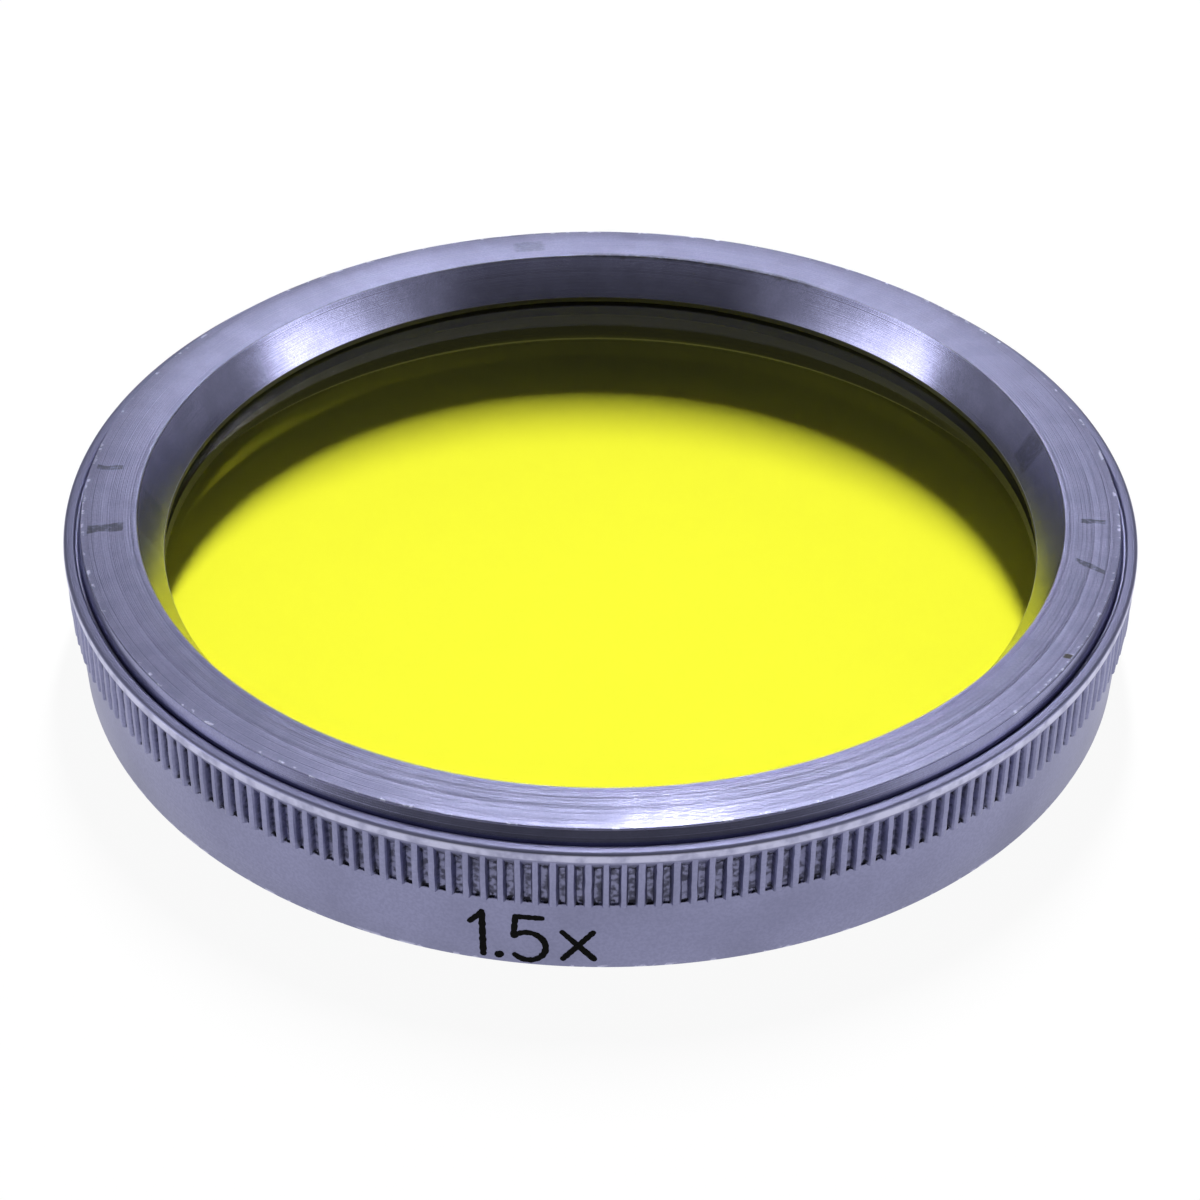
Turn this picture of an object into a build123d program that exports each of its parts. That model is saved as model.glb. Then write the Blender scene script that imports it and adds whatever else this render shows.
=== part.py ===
from build123d import *
import os
from math import pi

# A slip-on colour filter: a knurled mount that pushes over a round lens rim, a tinted glass disc
# dropped into it from the front, and a bevelled ring that screws in above the glass to hold it.
# Millimetres. +Z is the optical axis, towards the front face. The origin is the centre of the
# mount's rear rim, on which the filter stands.

# Socket that slips over the lens rim, open to the rear
socket_radius = 18.0
socket_depth = 1.85
socket_lead_in = 0.20

# Skirt, the plain outside wall round the socket
skirt_wall = 1.55
skirt_taper = 0.10
rim_break = 0.08

# Glass disc, its seat and the hole that light passes through
glass_inset = 0.70
glass_thickness = 1.77
glass_edge_bevel = 0.20
glass_clearance = 0.15
seat_width = 0.85
seat_thickness = 0.45

# Screwed ring that holds the glass
ring_overlap = 1.01
ring_lip_height = 0.18
bevel_height = 1.55
bevel_width = 0.89
ring_wall_height = 0.60
ring_wall_flare = 0.18
ring_edge_break = 0.05
thread_step = 0.45
thread_clearance = 0.05
thread_run = 0.20
thread_lead_in = 0.15
flange_gap = 0.05

# Shoulder of the mount, in which the ring's flange sits
shoulder_width = 0.45
recess_depth = 0.17
recess_clearance = 0.07
recess_break = 0.08
bead_height = 0.42
bead_break = 0.12

# Straight knurl, cut into the mount below the bead
knurl_height = 2.00
knurl_pitch = 0.573
knurl_depth = 0.22
knurl_stand = 0.02
knurl_runout = 0.35
ridge_crest_share = 0.36
ridge_foot_share = 0.64
groove_overcut = 0.10

# Heights above the rear rim
seat_z = socket_depth + seat_thickness
glass_front_z = seat_z + glass_thickness
bevel_foot_z = glass_front_z + ring_lip_height
face_z = bevel_foot_z + bevel_height
flange_z = face_z - ring_wall_height
recess_z = flange_z - flange_gap
mount_top_z = recess_z + recess_depth
knurl_top_z = mount_top_z - bead_height
knurl_foot_z = knurl_top_z - knurl_height

# Radii, from the socket outwards to the knurl
skirt_foot_radius = socket_radius + skirt_wall
skirt_top_radius = skirt_foot_radius + skirt_taper
groove_radius = skirt_top_radius + knurl_stand
bead_radius = groove_radius + knurl_depth
recess_radius = bead_radius - shoulder_width

# Radii, from the socket inwards to the glass and the ring's mouth
glass_radius = socket_radius - glass_inset
pocket_radius = glass_radius + glass_clearance
thread_radius = pocket_radius + thread_step
seat_radius = glass_radius - seat_width
mouth_radius = glass_radius - ring_overlap
bevel_top_radius = mouth_radius + bevel_width
flange_radius = recess_radius - recess_clearance
face_radius = flange_radius - ring_wall_flare
barrel_radius = thread_radius - thread_clearance


def turned(outline):
    """Revolves a closed outline, drawn as radius and height, about the optical axis."""
    return revolve(make_face(Plane.XZ * outline), Axis.Z)


def knurl_grooves():
    """Cutters for the knurl: straight channels, square at the foot, whose floors climb out above."""
    count = round(2 * pi * bead_radius / knurl_pitch)
    pitch = 2 * pi * bead_radius / count
    floor = pitch * (1 - ridge_foot_share) / 2
    mouth = pitch * (1 - ridge_crest_share) / 2
    reach = bead_radius + groove_overcut
    half_reach = mouth + (mouth - floor) * groove_overcut / knurl_depth
    runout_end_z = knurl_top_z + groove_overcut * knurl_runout / knurl_depth
    section = Polyline(
        (groove_radius, -floor),
        (reach, -half_reach),
        (reach, half_reach),
        (groove_radius, floor),
        close=True,
    )
    side = Polyline(
        (groove_radius, knurl_foot_z),
        (reach, knurl_foot_z),
        (reach, runout_end_z),
        (groove_radius, knurl_top_z - knurl_runout),
        close=True,
    )
    channel = Pos(0, 0, knurl_foot_z) * extrude(make_face(section), runout_end_z - knurl_foot_z)
    groove = channel & extrude(make_face(Plane.XZ * side), half_reach, both=True)
    return [Rot(0, 0, 360 * number / count) * groove for number in range(count)]


def make_mount():
    """The mount: socket, glass seat, threaded bore, shoulder, bead, knurl and skirt in one piece."""
    outline = Polyline(
        (socket_radius, socket_lead_in),
        (socket_radius + socket_lead_in, 0),
        (skirt_foot_radius - rim_break, 0),
        (skirt_foot_radius, rim_break),
        (skirt_top_radius, knurl_foot_z),
        (bead_radius, knurl_foot_z),
        (bead_radius, mount_top_z - bead_break),
        (bead_radius - bead_break, mount_top_z),
        (recess_radius + recess_break, mount_top_z),
        (recess_radius, mount_top_z - recess_break),
        (recess_radius, recess_z),
        (thread_radius + thread_lead_in, recess_z),
        (thread_radius, recess_z - thread_lead_in),
        (thread_radius, glass_front_z - thread_run),
        (pocket_radius, glass_front_z - thread_run),
        (pocket_radius, seat_z),
        (seat_radius, seat_z),
        (seat_radius, socket_depth),
        (socket_radius, socket_depth),
        close=True,
    )
    return turned(outline) - knurl_grooves()


def make_front_ring():
    """The screwed ring: flat face, bevel down to a narrow lip, and a barrel that bears on the glass."""
    return turned(
        Polyline(
            (mouth_radius, glass_front_z),
            (barrel_radius - thread_lead_in, glass_front_z),
            (barrel_radius, glass_front_z + thread_lead_in),
            (barrel_radius, flange_z),
            (flange_radius, flange_z),
            (face_radius, face_z - ring_edge_break),
            (face_radius - ring_edge_break, face_z),
            (bevel_top_radius, face_z),
            (mouth_radius, bevel_foot_z),
            close=True,
        )
    )


def make_glass():
    """The tinted disc, with both edges ground to a small bevel."""
    return turned(
        Polyline(
            (0, seat_z),
            (glass_radius - glass_edge_bevel, seat_z),
            (glass_radius, seat_z + glass_edge_bevel),
            (glass_radius, glass_front_z - glass_edge_bevel),
            (glass_radius - glass_edge_bevel, glass_front_z),
            (0, glass_front_z),
            close=True,
        )
    )


os.makedirs("parts", exist_ok=True)
export_step(make_mount(), "parts/mount.step")
export_step(make_front_ring(), "parts/front_ring.step")
export_step(make_glass(), "parts/filter_glass.step")
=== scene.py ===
import math
import bmesh
import bpy
from mathutils import Matrix, Vector


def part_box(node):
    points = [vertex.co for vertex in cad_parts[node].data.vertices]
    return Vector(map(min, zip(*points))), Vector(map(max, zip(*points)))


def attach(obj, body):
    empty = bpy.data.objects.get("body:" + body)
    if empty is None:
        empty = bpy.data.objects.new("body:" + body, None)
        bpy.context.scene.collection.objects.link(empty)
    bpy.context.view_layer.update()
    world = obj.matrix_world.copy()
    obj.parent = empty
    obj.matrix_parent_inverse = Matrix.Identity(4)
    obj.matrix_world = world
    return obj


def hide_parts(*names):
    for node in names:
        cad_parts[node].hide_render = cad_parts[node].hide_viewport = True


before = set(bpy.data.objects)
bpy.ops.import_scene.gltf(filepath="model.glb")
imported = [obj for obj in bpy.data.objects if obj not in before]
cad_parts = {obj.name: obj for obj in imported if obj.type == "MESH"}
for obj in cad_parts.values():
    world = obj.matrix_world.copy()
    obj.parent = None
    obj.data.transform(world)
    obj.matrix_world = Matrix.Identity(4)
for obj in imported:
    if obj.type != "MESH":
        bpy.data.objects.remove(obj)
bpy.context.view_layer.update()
mm = 0.001


# Camera, in front of the filter and 35 degrees above its face. It looks slightly below the
# face's centre and is turned by half a degree about its own line of sight.
face_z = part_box("front_ring")[1][2]
eye_distance = 105.4 * mm
eye_elevation = math.radians(34.60)
aim_elevation = math.radians(36.90)
roll = math.radians(0.557)
eye = bpy.data.cameras.new("eye")
eye.sensor_width = 36
eye.lens = 84.68
eye.clip_start = 0.001
camera = bpy.data.objects.new("camera", eye)
bpy.context.scene.collection.objects.link(camera)
forward = Vector((0, math.cos(aim_elevation), -math.sin(aim_elevation)))
level = Vector((1, 0, 0))
upright = level.cross(forward)
right = level * math.cos(roll) + upright * math.sin(roll)
above = upright * math.cos(roll) - level * math.sin(roll)
stand = Matrix((right, above, -forward)).transposed().to_4x4()
stand.translation = (0, -eye_distance * math.cos(eye_elevation),
                     eye_distance * math.sin(eye_elevation) + face_z)
camera.matrix_world = stand
bpy.context.scene.camera = camera
bpy.context.scene.view_settings.view_transform = "Standard"


# Floor: a plain pale table top under the filter, wide enough for every view. To the camera it is
# almost white and keeps a faint shadow; the metal sees it white nearby and dim in front.
class Wire:
    """A value in a node tree. Arithmetic on it adds Math nodes."""

    def __init__(self, tree, socket=None):
        self.tree = tree
        self.socket = socket

    def add(self, kind, settings=None, inputs=None, output=0):
        """Adds a node with its settings, then its socket values or links."""
        node = self.tree.nodes.new(kind)
        for name, value in (settings or {}).items():
            setattr(node, name, value)
        for key, value in (inputs or {}).items():
            if isinstance(value, Wire):
                self.tree.links.new(value.socket, node.inputs[key])
            else:
                node.inputs[key].default_value = value
        return Wire(self.tree, node.outputs[output]) if node.outputs else node

    def math(self, operation, *values):
        return self.add("ShaderNodeMath", {"operation": operation}, dict(enumerate(values)))

    def ramp(self, start, end, low=0.0, high=1.0):
        """Goes smoothly from low to high while this value goes from start to end."""
        return self.add("ShaderNodeMapRange", {"interpolation_type": "SMOOTHSTEP"},
                        {"Value": self, "From Min": start, "From Max": end,
                         "To Min": low, "To Max": high})

    def band(self, start, end, soft):
        """Is 1 between start and end and fades to 0 outside them over soft."""
        return self.ramp(start - soft, start) * self.ramp(end, end + soft, 1.0, 0.0)

    def blend(self, first, second):
        """Mixes two colours by this value."""
        return self.add("ShaderNodeMix", {"data_type": "RGBA"},
                        {0: self, 6: first, 7: second}, 2)

    def part(self, output):
        """Another output of the node that this value comes from."""
        return Wire(self.tree, self.socket.node.outputs[output])

    def noise(self, scale, detail):
        """Three-dimensional noise on this vector."""
        return self.add("ShaderNodeTexNoise", {},
                        {"Vector": self, "Scale": scale, "Detail": detail})

    def lines(self, scale, detail):
        """One-dimensional noise along this value."""
        return self.add("ShaderNodeTexNoise", {"noise_dimensions": "1D"},
                        {"W": self, "Scale": scale, "Detail": detail})

    def __add__(self, other):
        return self.math("ADD", self, other)

    def __radd__(self, other):
        return self.math("ADD", other, self)

    def __sub__(self, other):
        return self.math("SUBTRACT", self, other)

    def __rsub__(self, other):
        return self.math("SUBTRACT", other, self)

    def __mul__(self, other):
        return self.math("MULTIPLY", self, other)

    def __rmul__(self, other):
        return self.math("MULTIPLY", other, self)


def new_material(name):
    """An empty material, and the wire that its nodes are added with."""
    material = bpy.data.materials.new(name)
    material.use_nodes = True
    material.node_tree.nodes.clear()
    return material, Wire(material.node_tree)


def finish_material(tree, surface, volume=None):
    """Joins a material's surface, and its volume if it has one, to its output."""
    links = {"Surface": surface}
    if volume:
        links["Volume"] = volume
    tree.add("ShaderNodeOutputMaterial", {}, links)


def new_piece(name, mesh, *materials):
    """Puts a mesh in the scene with its materials."""
    piece = bpy.data.objects.new(name, mesh)
    bpy.context.scene.collection.objects.link(piece)
    for material in materials:
        mesh.materials.append(material)
    return piece


table_radius = 120 * mm
table_colour = (0.35, 0.35, 0.35, 1)
white = (1, 1, 1, 1)
glow_to_camera = 0.94
glow_in_metal = 0.8
dim_glow = 0.16
dim_from, dim_to = -32 * mm, -44 * mm
table_paint, tree = new_material("table_paint")
seen = tree.add("ShaderNodeLightPath", output="Is Camera Ray")
mirrored = tree.add("ShaderNodeLightPath", output="Is Glossy Ray")
mirrored = mirrored * (1.0 - tree.add("ShaderNodeLightPath", output="Is Transmission Ray"))
place = tree.add("ShaderNodeTexCoord", output="Object")
backward = tree.add("ShaderNodeSeparateXYZ", {}, {0: place}).part(1)
dim = mirrored * backward.ramp(dim_from, dim_to)
matt = tree.add("ShaderNodeBsdfDiffuse", {}, {"Color": table_colour})
glow = tree.add("ShaderNodeEmission", {}, {"Color": white, "Strength": 1.0})
lit = tree.add("ShaderNodeMixShader", {}, {
    0: seen * glow_to_camera + mirrored * glow_in_metal, 1: matt, 2: glow})
unlit = tree.add("ShaderNodeEmission", {}, {"Color": white, "Strength": dim_glow})
finish_material(tree, tree.add("ShaderNodeMixShader", {}, {0: dim, 1: lit, 2: unlit}))
table_mesh = bpy.data.meshes.new("table")
sheet = bmesh.new()
bmesh.ops.create_circle(sheet, cap_ends=True, segments=128, radius=table_radius)
sheet.to_mesh(table_mesh)
table = new_piece("table", table_mesh, table_paint)


# Lamps: four ceiling tubes above and behind the filter that run away from it, a soft panel beside
# them and a lower one at each back corner, in a pale room with a bright window on both sides.
def lamp(name, width, length, power):
    """A rectangle of light that neither the camera nor the glass shows."""
    light = bpy.data.lights.new(name, "AREA")
    light.shape = "RECTANGLE"
    light.size = width
    light.size_y = length
    light.energy = power
    shade = bpy.data.objects.new(name, light)
    shade.visible_camera = False
    shade.visible_transmission = False
    bpy.context.scene.collection.objects.link(shade)
    return shade


def panel(name, azimuth, elevation, distance, width, height, power):
    """A soft lamp that lights only matt surfaces. Degrees, metres and watts."""
    shade = lamp(name, width, height, power)
    azimuth, elevation = math.radians(azimuth), math.radians(elevation)
    way = Vector((math.cos(azimuth) * math.cos(elevation),
                  math.sin(azimuth) * math.cos(elevation), math.sin(elevation)))
    shade.matrix_world = way.to_track_quat("Z", "Y").to_matrix().to_4x4()
    shade.location = way * distance
    shade.visible_glossy = False


tube_width, tube_length = 4.5 * mm, 520 * mm
tube_back, tube_height = 840 * mm, 1000 * mm
tube_power = 1.4
tubes = ((24.8, 1.0), (44.7, 1.25), (64.3, 1.0), (82.1, 0.6))
for number, (sideways, share) in enumerate(tubes):
    tube = lamp("ceiling_tube_%d" % (number + 1), tube_width, tube_length, tube_power * share)
    tube.location = (sideways * mm, tube_back, tube_height)
panel("ceiling_panel", 86, 50, 1.3, 0.08, 0.52, 62.0)
panel("back_left_panel", 128, 24, 0.5, 0.20, 0.20, 0.50)
panel("back_right_panel", 52, 24, 0.5, 0.20, 0.20, 0.50)

room_level, front_drop, back_drop, window_level = 0.42, 0.32, 0.38, 4.2
matt_drop = 0.99
world = bpy.data.worlds.new("room")
bpy.context.scene.world = world
world.use_nodes = True
tree = Wire(world.node_tree)
world.node_tree.nodes.clear()
way = tree.add("ShaderNodeSeparateXYZ", {}, {0: tree.add("ShaderNodeTexCoord", output="Generated")})
sideways = tree.math("ABSOLUTE", way)
upward = way.part(2)
turn = tree.math("ARCTAN2", way.part(1), sideways)
window = turn.ramp(-0.75, -0.05) * turn.ramp(0.0, 0.04, 1.0, 0.0) * upward.band(0.08, 0.36, 0.08)
front_dark = turn.ramp(-0.75, -0.95) * upward.ramp(0.55, 0.75, 1.0, 0.0)
back_dark = turn.ramp(1.2, 1.35) * upward.band(0.36, 0.72, 0.06)
level = room_level - front_drop * front_dark - back_drop * back_dark
level = level * upward.ramp(-0.06, 0.0, 0.25, 1.0) + window_level * window
matt_bounces = tree.add("ShaderNodeLightPath", output="Diffuse Depth")
level = level * (1.0 - matt_drop * tree.math("MINIMUM", matt_bounces, 1.0))
seen = tree.add("ShaderNodeLightPath", output="Is Camera Ray")
level = level * (1.0 - seen) + seen
tree.add("ShaderNodeOutputWorld", {}, {"Surface": tree.add("ShaderNodeBackground", {}, {
    "Color": white, "Strength": level})})


# Mount: the body, turned from one aluminium bar. Skirt, knurl and bead are bare metal; the
# socket, the glass seat and the pocket are painted matt black.
sharp_angle = math.radians(24)


def skin(shape, rows, slot=0):
    """Joins each row of points to the next with faces. A row closes on itself."""
    for lower, upper in zip(rows, rows[1:]):
        for number in range(len(lower)):
            after = (number + 1) % len(lower)
            face = shape.faces.new((lower[number], lower[after], upper[after], upper[number]))
            face.material_index = slot


def turned(name, outline, columns, *materials):
    """Spins a closed outline of radius, height and material number (in mm) about the axis."""
    shape = bmesh.new()
    rings = []
    for radius, height, _ in outline:
        ring = []
        for number in range(columns):
            turn = 2 * math.pi * number / columns
            ring.append(shape.verts.new((radius * mm * math.cos(turn),
                                         radius * mm * math.sin(turn), height * mm)))
        rings.append(ring)
    for (_, _, slot), lower, upper in zip(outline, rings, rings[1:] + rings[:1]):
        skin(shape, (lower, upper), slot)
    for face in shape.faces:
        face.smooth = True
    bmesh.ops.recalc_face_normals(shape, faces=shape.faces)
    for edge in shape.edges:
        if edge.calc_face_angle(0) > sharp_angle:
            edge.smooth = False
    mesh = bpy.data.meshes.new(name)
    shape.to_mesh(mesh)
    shape.free()
    return new_piece(name, mesh, *materials)


def arc(radius, height, size, start, end, steps):
    """Points of a rounded corner, as radius, height and the first material's number."""
    points = []
    for number in range(steps + 1):
        turn = math.radians(start + (end - start) * number / steps)
        points.append((radius + size * math.cos(turn), height + size * math.sin(turn), 0))
    return points


def around(tree):
    """Where a point is: position, height, distance from the axis and angle about it."""
    position = tree.add("ShaderNodeTexCoord", output="Object")
    across = tree.add("ShaderNodeSeparateXYZ", {}, {0: position})
    along = across.part(1)
    radius = tree.math("SQRT", across * across + along * along)
    angle = tree.math("ARCTAN2", along, across)
    return position, across.part(2), radius, angle


bare_metal = (0.30, 0.305, 0.485, 1)
dull_metal = (0.26, 0.265, 0.42, 1)
speckle_and_shade_metal = (0.19, 0.195, 0.32, 1)
groove_dark = (0.030, 0.030, 0.055, 1)
wear_and_glint_metal = (0.56, 0.565, 0.76, 1)
skirt_metal, tree = new_material("skirt_metal")
position, height, radius, _ = around(tree)
clouds = position.noise(260, 4)
grain = position.noise(9000, 3)
specks = position.noise(5200, 2)
turning = (radius + height).lines(14000, 3)
in_knurl = height.band(2.90 * mm, 4.95 * mm, 0.03 * mm)
depth = radius.ramp(19.62 * mm, 19.80 * mm, 1.0, 0.0) * in_knurl
ends = (height.band(2.88 * mm, 3.00 * mm, 0.10 * mm)
        + 0.55 * height.band(4.45 * mm, 4.7 * mm, 0.1 * mm))
# Painted shade: the knurl's grooves are darkened by their depth, with darker specks along them and
# at their two ends.
groove_darkening = depth * (0.10 + 0.50 * specks.ramp(0.42, 0.62) + 0.8 * ends * specks.ramp(0.46, 0.56))
groove_darkening = tree.math("MINIMUM", groove_darkening, 1.0)
colour = clouds.ramp(0.35, 0.7).blend(bare_metal, dull_metal)
colour = (0.3 * grain.ramp(0.35, 0.65)).blend(colour, speckle_and_shade_metal)
# Painted shade: the top of the bead and the flat shoulder beside the front ring's wall are darkened
# with the speckle colour.
colour = height.ramp(5.20 * mm, 5.30 * mm).blend(colour, speckle_and_shade_metal)
# Painted highlight: the bead's outer round is lightened in noisy streaks as bright glints. The same
# pale colour also marks the real chips at the skirt's lower edge.
bead_glint = height.band(4.96 * mm, 5.22 * mm, 0.05 * mm) * radius.ramp(19.82 * mm, 19.86 * mm)
colour = (bead_glint * position.noise(1800, 3).ramp(0.3, 0.6, 0.35, 1.0)).blend(colour, wear_and_glint_metal)
chips = height.ramp(0.18 * mm, 0.05 * mm) * position.noise(2400, 3).ramp(0.54, 0.60)
colour = chips.blend(colour, wear_and_glint_metal)
colour = groove_darkening.blend(colour, groove_dark)
bump = tree.add("ShaderNodeBump", {}, {
    "Strength": 1.0, "Distance": 1.0,
    "Height": turning * 0.008 * mm + grain * 0.0035 * mm + specks * depth * 0.02 * mm})
finish_material(tree, tree.add("ShaderNodeBsdfPrincipled", {}, {
    "Base Color": colour, "Metallic": 1.0 - 0.7 * groove_darkening,
    "Roughness": 0.36 + 0.10 * clouds + 0.3 * groove_darkening, "Normal": bump}))

black_paint, tree = new_material("black_paint")
grain = tree.add("ShaderNodeTexCoord", output="Object").noise(7000, 3)
bump = tree.add("ShaderNodeBump", {}, {"Distance": 1.0, "Height": grain * 0.004 * mm})
finish_material(tree, tree.add("ShaderNodeBsdfPrincipled", {}, {
    "Base Color": grain.blend((0.003, 0.003, 0.003, 1), (0.009, 0.008, 0.007, 1)),
    "Roughness": 0.5 + 0.2 * grain, "Specular IOR Level": 0.25, "Normal": bump}))

mount_columns = 436
groove_radius = 19.57
knurl_foot = 2.90
outline = [(19.47, 0.0, 0), (19.53, 0.02, 0), (19.552, 0.08, 0), (19.60, 1.5, 0),
           (19.645, 2.88, 0), (19.63, knurl_foot, 0), (groove_radius, 2.905, 0),
           (groove_radius, 3.7, 0), (groove_radius, 4.42, 0), (19.66, 4.56, 0),
           (19.79, 4.76, 0), (19.865, 4.90, 0), (19.885, 5.02, 0)]
outline += arc(19.755, 5.19, 0.13, 0, 84, 7)
outline += [(19.60, 5.315, 0), (19.52, 5.315, 0), (19.475, 5.29, 0), (19.45, 5.24, 0),
            (19.45, 5.15, 0), (18.05, 5.15, 0), (17.90, 5.0, 1), (17.90, 3.87, 1), (17.45, 3.87, 1),
            (17.45, 2.30, 1), (16.45, 2.30, 1), (16.45, 1.85, 1), (18.0, 1.85, 1),
            (18.0, 0.20, 1), (18.2, 0.0, 0)]
body = turned("mount_body", outline, mount_columns, skirt_metal, black_paint)


# Mark on the skirt: a plain filter factor, engraved by hand through a template and filled with
# black wax.
mark_start, mark_radius = math.radians(-102.4), 19.6
skirt_radius, skirt_slope = 19.553, 0.0325
mark_proud, mark_sunk = 0.008, -0.03
stroke_step = 0.07


def engraved(shape, centres, width, slot):
    """Adds one stroke to a mesh. Its centre line is given along the skirt and up it, in mm."""
    half = width / 2
    samples = []
    for (x0, y0), (x1, y1) in zip(centres, centres[1:]):
        steps = max(1, round(math.hypot(x1 - x0, y1 - y0) / stroke_step))
        samples += [(x0 + (x1 - x0) * step / steps, y0 + (y1 - y0) * step / steps)
                    for step in range(steps)]
    samples.append(centres[-1])
    rows = []
    last = len(samples) - 1
    for number, (x, y) in enumerate(samples):
        x0, y0 = samples[max(number - 1, 0)]
        x1, y1 = samples[min(number + 1, last)]
        size = math.hypot(x1 - x0, y1 - y0)
        ahead = ((x1 - x0) / size, (y1 - y0) / size)
        wobble = 1 + 0.10 * math.sin(23 * x + 17 * y) + 0.06 * math.sin(61 * y - 37 * x)
        caps = [(0.0, half * wobble)]
        if number == 0:
            caps = [(-0.96 * half, 0.35 * half), (-0.65 * half, 0.78 * half)] + caps
        if number == last:
            caps = caps + [(0.65 * half, 0.78 * half), (0.96 * half, 0.35 * half)]
        for on, aside in caps:
            row = []
            for side, lift in ((1, mark_proud), (-1, mark_proud), (-1, mark_sunk), (1, mark_sunk)):
                along = x + ahead[0] * on - ahead[1] * aside * side
                height = y + ahead[1] * on + ahead[0] * aside * side
                radius = skirt_radius + skirt_slope * height + lift
                turn = mark_start + along / mark_radius
                row.append(shape.verts.new((radius * mm * math.cos(turn),
                                            radius * mm * math.sin(turn), height * mm)))
            rows.append(row)
    skin(shape, rows, slot)
    for row in (rows[0], rows[-1]):
        shape.faces.new(row).material_index = slot


black_wax, tree = new_material("black_wax")
grain = tree.add("ShaderNodeTexCoord", output="Object").noise(8000, 3)
bump = tree.add("ShaderNodeBump", {}, {"Distance": 1.0, "Height": grain * 0.01 * mm})
finish_material(tree, tree.add("ShaderNodeBsdfPrincipled", {}, {
    "Base Color": grain.blend((0.001, 0.001, 0.001, 1), (0.004, 0.004, 0.004, 1)),
    "Roughness": 0.6 + 0.2 * grain, "Specular IOR Level": 0.08, "Normal": bump}))
wax_slot = len(body.data.materials)
body.data.materials.append(black_wax)
bowl = [(1.97 + 0.60 * math.cos(math.radians(turn)), 0.86 + 0.64 * math.sin(math.radians(turn)))
        for turn in range(138, -148, -13)]
strokes = (([(0.05, 1.72), (0.46, 2.20)], 0.20), ([(0.46, 2.22), (0.47, 0.30)], 0.23),
           ([(0.99, 0.33), (1.03, 0.36)], 0.29), ([(2.44, 2.20), (1.58, 2.19)], 0.21),
           ([(1.58, 2.19), (1.50, 1.30)], 0.21), (bowl, 0.22),
           ([(3.12, 1.62), (4.16, 0.42)], 0.21), ([(3.14, 0.40), (4.12, 1.64)], 0.21))
mark = bmesh.new()
for centres, width in strokes:
    engraved(mark, centres, width, wax_slot)
bmesh.ops.recalc_face_normals(mark, faces=mark.faces)
mark_mesh = bpy.data.meshes.new("mark")
mark.to_mesh(mark_mesh)
mark.free()


# Knurl: 218 ridges round the mount, cut by a wheel. Their lower ends are square, their upper
# ends run out into the bead, and no two are quite alike.
ridge_count = 218
narrowest, widest = 0.86, 1.14
shallowest = 0.90
wobble_scale = 2600.0
ridge_rows = ((0.0, 0.235), (0.04, 0.285), (0.35, 0.298), (0.8, 0.300), (1.2, 0.298),
              (1.6, 0.297), (1.9, 0.290), (2.1, 0.285))
ridge_section = ((-0.180, -0.03), (-0.128, 0.66), (-0.095, 0.93), (-0.03, 1.0), (0.03, 1.0),
                 (0.095, 0.93), (0.128, 0.66), (0.180, -0.03))
shape = bmesh.new()
rows = []
for upward, rise in ridge_rows:
    rows.append([shape.verts.new((rise * share * mm, aside * mm, upward * mm))
                 for aside, share in ridge_section])
skin(shape, rows)
shape.faces.new(rows[0])
shape.faces.new(rows[-1])
bmesh.ops.recalc_face_normals(shape, faces=shape.faces)
ridge_mesh = bpy.data.meshes.new("ridge")
shape.to_mesh(ridge_mesh)
shape.free()
ridge = bpy.data.objects.new("ridge", ridge_mesh)
bpy.context.scene.collection.objects.link(ridge)

tree = bpy.data.node_groups.new("knurl_band", "GeometryNodeTree")
sockets = {}
for label, kind in (("Geometry", "Geometry"), ("Ridge", "Object"), ("Ridge count", "Int"),
                    ("Floor radius", "Float"), ("Foot height", "Float"),
                    ("Length scatter", "Float"), ("Wobble", "Float"), ("Seed", "Int"),
                    ("Finish", "Material")):
    sockets[label] = tree.interface.new_socket(label, in_out="INPUT",
                                               socket_type="NodeSocket" + kind).identifier
tree.interface.new_socket("Geometry", in_out="OUTPUT", socket_type="NodeSocketGeometry")
start = Wire(tree)
entry = start.add("NodeGroupInput").socket.node


def given(label):
    """The knurl tree's input of that name."""
    return Wire(tree, entry.outputs[label])


index = start.add("GeometryNodeInputIndex")
turn = index * start.math("DIVIDE", 2 * math.pi, given("Ridge count"))
spot = start.add("ShaderNodeCombineXYZ", {}, {
    "X": given("Floor radius") * start.math("COSINE", turn),
    "Y": given("Floor radius") * start.math("SINE", turn), "Z": given("Foot height")})
points = start.add("GeometryNodePoints", {}, {"Count": given("Ridge count"), "Position": spot})
length = start.add("FunctionNodeRandomValue", {"data_type": "FLOAT"}, {
    2: 1.0 - given("Length scatter"), 3: 1.0, "ID": index, "Seed": given("Seed")}, 1)
width = start.add("FunctionNodeRandomValue", {"data_type": "FLOAT"}, {
    2: narrowest, 3: widest, "ID": index, "Seed": given("Seed") + 1}, 1)
depth_share = start.add("FunctionNodeRandomValue", {"data_type": "FLOAT"}, {
    2: shallowest, 3: 1.0, "ID": index, "Seed": given("Seed") + 2}, 1)
size = start.add("ShaderNodeCombineXYZ", {}, {"X": depth_share, "Y": width, "Z": length})
facing = start.add("ShaderNodeCombineXYZ", {}, {"Z": turn})
instances = start.add("GeometryNodeInstanceOnPoints", {}, {
    "Points": points,
    "Instance": start.add("GeometryNodeObjectInfo", {"transform_space": "ORIGINAL"},
                          {"Object": given("Ridge")}, "Geometry"),
    "Rotation": start.add("FunctionNodeEulerToRotation", {}, {0: facing}), "Scale": size})
real = start.add("GeometryNodeRealizeInstances", {}, {0: instances})
place = start.add("GeometryNodeInputPosition")
stir = start.add("ShaderNodeTexNoise", {},
                 {"Vector": place, "Scale": wobble_scale, "Detail": 1.0}, 1)
centred = start.add("ShaderNodeVectorMath", {"operation": "SUBTRACT"},
                    {0: stir, 1: (0.5, 0.5, 0.5)})
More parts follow.
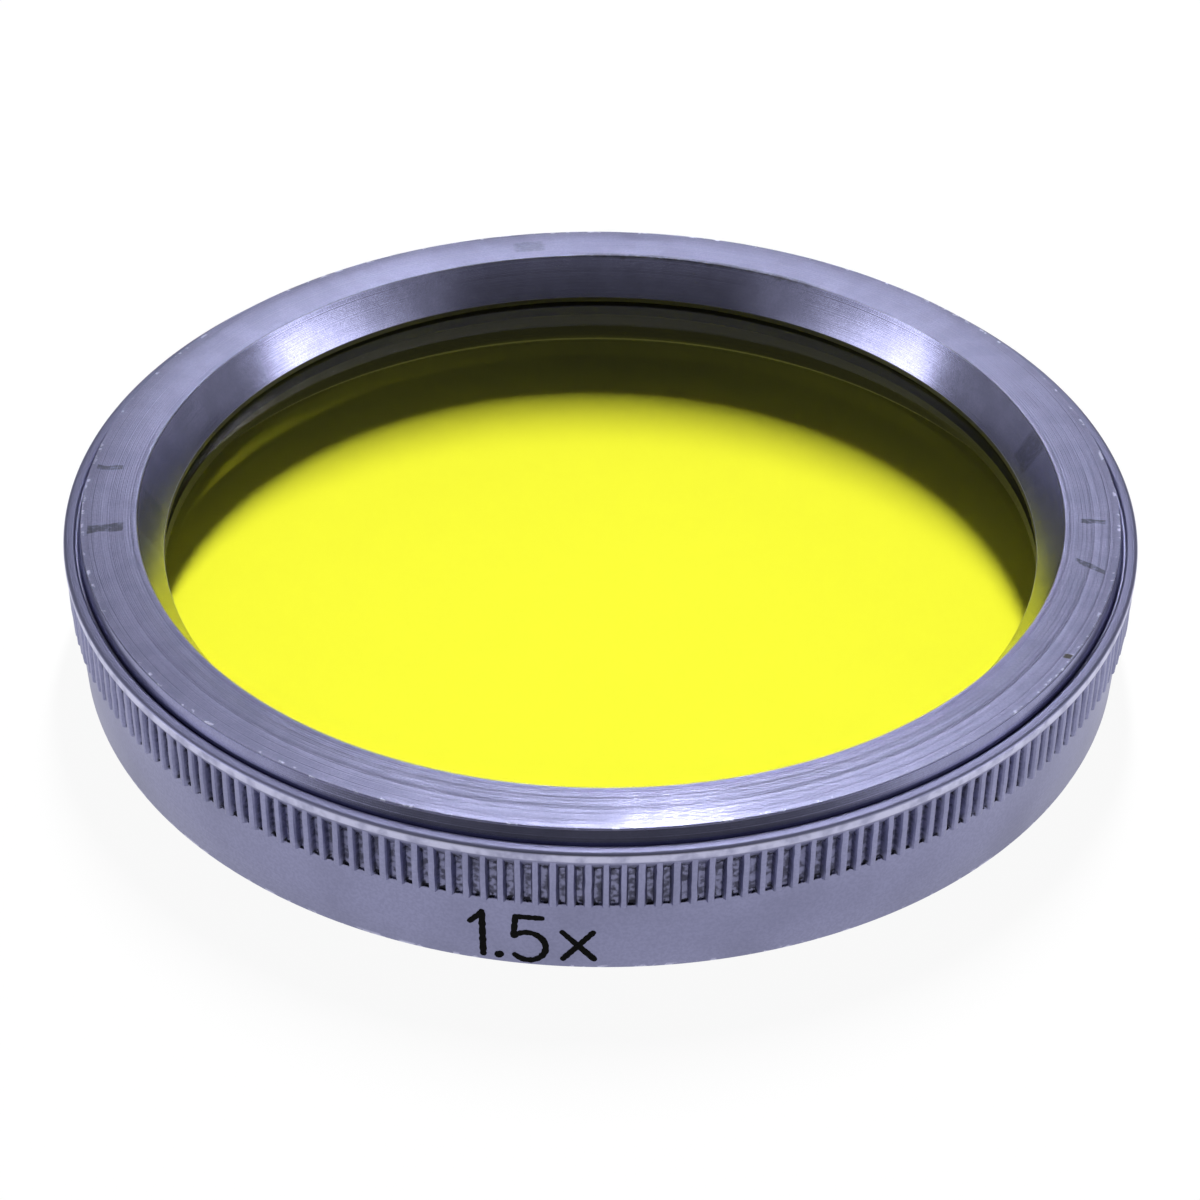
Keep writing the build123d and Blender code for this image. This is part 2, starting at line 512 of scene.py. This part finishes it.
shift = start.add("ShaderNodeVectorMath", {"operation": "SCALE"},
                  {0: centred, "Scale": given("Wobble")})
moved = start.add("GeometryNodeSetPosition", {}, {"Geometry": real, "Offset": shift})
ended = start.add("GeometryNodeRealizeInstances", {}, {0: moved})
painted = start.add("GeometryNodeSetMaterial", {}, {
    "Geometry": ended, "Material": given("Finish")})
start.add("NodeGroupOutput", {}, {0: painted})

maker = bpy.data.objects.new("knurl_maker", bpy.data.meshes.new("knurl_maker"))
bpy.context.scene.collection.objects.link(maker)
knurling = maker.modifiers.new("knurling", "NODES")
knurling.node_group = tree
for label, value in (("Ridge", ridge), ("Ridge count", ridge_count),
                     ("Floor radius", groove_radius * mm), ("Foot height", knurl_foot * mm),
                     ("Length scatter", 0.05), ("Wobble", 0.06 * mm), ("Seed", 5),
                     ("Finish", skirt_metal)):
    knurling[sockets[label]] = value
depsgraph = bpy.context.evaluated_depsgraph_get()
knurl_mesh = bpy.data.meshes.new_from_object(maker.evaluated_get(depsgraph))
shape = bmesh.new()
shape.from_mesh(knurl_mesh)
for face in shape.faces:
    face.material_index = 0
shape.from_mesh(body.data)
shape.from_mesh(mark_mesh)
shape.to_mesh(body.data)
shape.free()
for helper in (maker, ridge):
    bpy.data.objects.remove(helper)
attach(body, "root")
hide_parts("mount")


# Front ring: turned from aluminium and screwed into the mount. A flat satin face, a deep bevel
# down to a thin lip on the glass, and a short outer wall.
def patch(angle, radius, turn, spread, inner, outer):
    """Is 1 on one patch of a turned face and fades to 0 round it. Degrees and mm."""
    turn, spread = math.radians(turn), math.radians(spread)
    return (angle.band(turn - spread, turn + spread, 0.4 * spread)
            * radius.band(inner * mm, outer * mm, 0.08 * mm))


satin_shade = (0.27, 0.275, 0.44, 1)
stained_metal = (0.19, 0.195, 0.32, 1)
speckled_metal = (0.20, 0.205, 0.34, 1)
scuffed_metal = (0.12, 0.125, 0.18, 1)
chipped_metal = (0.60, 0.61, 0.80, 1)
blackened = (0.012, 0.011, 0.010, 1)
ring_metal, tree = new_material("ring_metal")
position, height, radius, angle = around(tree)
clouds = position.noise(220, 4)
stains = position.noise(900, 4)
grain = position.noise(11000, 3)
turning = (radius + height).lines(21000, 2)
face = height.ramp(5.74 * mm, 5.78 * mm)
lip = height.ramp(4.255 * mm, 4.30 * mm, 1.0, 0.0)
stir = position.noise(1700, 3) - 0.5
bent_angle = angle + 0.016 * stir
bent_radius = radius + 0.20 * mm * stir
slanted_angle = bent_angle + 26.0 * (radius - 18.25 * mm)
scuffs = patch(slanted_angle, bent_radius, -15.0, 0.34, 17.75, 18.75)
for strength, *place in ((1.0, -170.7, 0.62, 17.70, 18.90), (1.0, 177.0, 0.36, 18.05, 18.95),
                         (1.0, -6.2, 0.34, 17.80, 18.60), (0.5, 100.0, 1.6, 17.75, 18.45),
                         (0.6, 12.2, 1.7, 16.50, 17.12), (0.4, -175.5, 4.0, 16.45, 17.00),
                         (0.9, 76.0, 14.0, 17.19, 17.27)):
    scuffs = scuffs + strength * patch(bent_angle, bent_radius, *place)
scuffs = tree.math("MINIMUM", scuffs * position.noise(5200, 3).ramp(0.30, 0.55, 0.45, 1.0), 1.0)
nick = patch(bent_angle, radius, -31.8, 0.30, 18.90, 19.10)
chips = face * radius.ramp(19.04 * mm, 19.12 * mm) * position.noise(2600, 3).ramp(0.57, 0.65)
black = tree.math("MAXIMUM", lip, nick)
colour = clouds.ramp(0.3, 0.75).blend(bare_metal, satin_shade)
colour = (0.30 * stains.ramp(0.42, 0.62)).blend(colour, stained_metal)
colour = (0.35 * grain.ramp(0.35, 0.65)).blend(colour, speckled_metal)
colour = scuffs.blend(colour, scuffed_metal)
colour = chips.blend(colour, chipped_metal)
colour = black.blend(colour, blackened)
bump = tree.add("ShaderNodeBump", {}, {
    "Strength": 1.0, "Distance": 1.0,
    "Height": turning * (0.004 + 0.014 * face) * mm + grain * (0.001 + 0.003 * face) * mm})
satin = tree.add("ShaderNodeBsdfPrincipled", {}, {
    "Base Color": colour, "Metallic": 1.0 - black,
    "Roughness": 0.17 + 0.06 * clouds + 0.15 * face + 0.3 * lip, "Normal": bump})
fine = tree.add("ShaderNodeBump", {}, {
    "Strength": 1.0, "Distance": 1.0, "Height": turning * 0.0010 * mm})
bright = tree.add("ShaderNodeBsdfPrincipled", {}, {
    "Base Color": colour, "Metallic": 1.0, "Roughness": 0.04, "Normal": fine})
share = 0.035 * (1.0 - lip)
finish_material(tree, tree.add("ShaderNodeMixShader", {}, {0: share, 1: satin, 2: bright}))

outline = [(16.29, 4.072, 0), (17.70, 4.072, 0), (17.85, 4.22, 0), (17.85, 5.20, 0),
           (19.36, 5.20, 0), (19.38, 5.215, 0)]
outline += arc(19.165, 5.765, 0.035, 10, 90, 4)
outline += [(18.4, 5.80, 0), (17.5, 5.80, 0)]
outline += arc(17.205, 5.765, 0.035, 90, 150, 4)
outline += [(16.6, 4.79, 0), (16.30, 4.265, 0), (16.29, 4.24, 0)]
ring_columns = 400
ring = turned("front_ring_piece", outline, ring_columns, ring_metal)
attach(ring, "root")
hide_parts("front_ring")


# Glass: a polished disc, yellow all through, with both edges ground to a small bevel. It lies on
# the seat, and the ring's barrel bears on it.
yellow_glass, tree = new_material("yellow_glass")
shadow = tree.add("ShaderNodeLightPath", output="Is Shadow Ray")
clear = tree.add("ShaderNodeBsdfTransparent", {}, {"Color": white})
polished = tree.add("ShaderNodeBsdfPrincipled", {}, {
    "Base Color": white, "Roughness": 0.0, "IOR": 1.52, "Transmission Weight": 1.0})
stain = tree.add("ShaderNodeVolumeAbsorption", {}, {
    "Color": (0.985, 0.99, 0.0, 1), "Density": 740.0})
finish_material(tree, tree.add("ShaderNodeMixShader", {}, {0: shadow, 1: polished, 2: clear}),
                stain)
gap = 0.003
glass_sides = 360
shape = bmesh.new()
glass_outline = [(17.10, 2.30 + gap), (17.30, 2.50), (17.30, 3.87), (17.10, 4.07 - gap)]
rings = []
for radius, height in glass_outline:
    rings.append([shape.verts.new((radius * mm * math.cos(2 * math.pi * number / glass_sides),
                                   radius * mm * math.sin(2 * math.pi * number / glass_sides),
                                   height * mm)) for number in range(glass_sides)])
skin(shape, rings)
shape.faces.new(rings[0])
shape.faces.new(rings[-1])
bmesh.ops.recalc_face_normals(shape, faces=shape.faces)
glass_mesh = bpy.data.meshes.new("filter_glass_piece")
shape.to_mesh(glass_mesh)
shape.free()
glass = new_piece("filter_glass_piece", glass_mesh, yellow_glass)
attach(glass, "root")
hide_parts("filter_glass")
